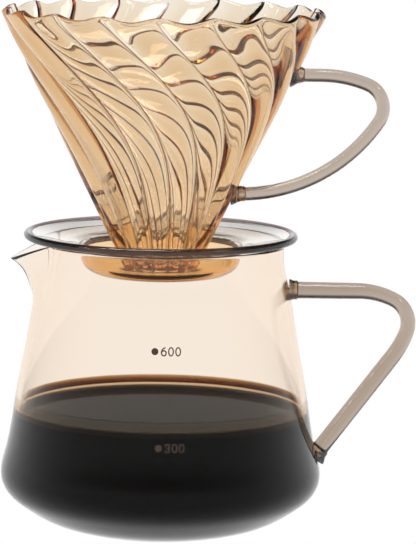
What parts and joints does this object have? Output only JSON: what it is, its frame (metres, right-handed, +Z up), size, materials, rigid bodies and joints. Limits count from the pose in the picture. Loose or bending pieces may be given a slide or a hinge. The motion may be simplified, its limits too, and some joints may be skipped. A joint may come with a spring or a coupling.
{
  "type": "pour over dripper",
  "caption": "Glass pour over dripper with spiral ribs, saucer and handle, seated on the mouth of a spouted glass server.",
  "frame": {"origin": "centre of the server's foot, on the table it stands on", "axes": "+Z up, +X towards both handles, the spout on the -X side, the volume marks on the -Y side"},
  "size_m": [0.1549, 0.119, 0.1912],
  "materials": {
    "server_glass": "clear, smoke tinted",
    "handle_glass": "clear, smoke tinted",
    "joint_glass": "clear, amber where thick",
    "cone_glass": "clear, amber tinted",
    "saucer_glass": "clear, smoke tinted",
    "rim_glass": "fire polished, dark where thick",
    "mark_enamel": "satin fired enamel",
    "coffee": "still liquid"
  },
  "bodies": {
    "server": {"server_body": "server_glass", "server_handle": "handle_glass", "server_handle_upper_joint": "joint_glass", "server_handle_lower_joint": "joint_glass", "mark_300": "mark_enamel", "mark_600": "mark_enamel", "brewed_coffee": "coffee"},
    "dripper": {"dripper_cone": "cone_glass", "dripper_saucer": "saucer_glass", "saucer_rim_bead": "rim_glass", "cone_weld_ring": "joint_glass", "dripper_handle": "handle_glass", "dripper_handle_upper_joint": "joint_glass", "dripper_handle_lower_joint": "joint_glass"}
  },
  "joints": [
    {"name": "dripper_lift", "type": "slide", "parent": "server", "child": "dripper", "axis": [0, 0, 1], "range_m": [0, 0.05]}
  ]
}
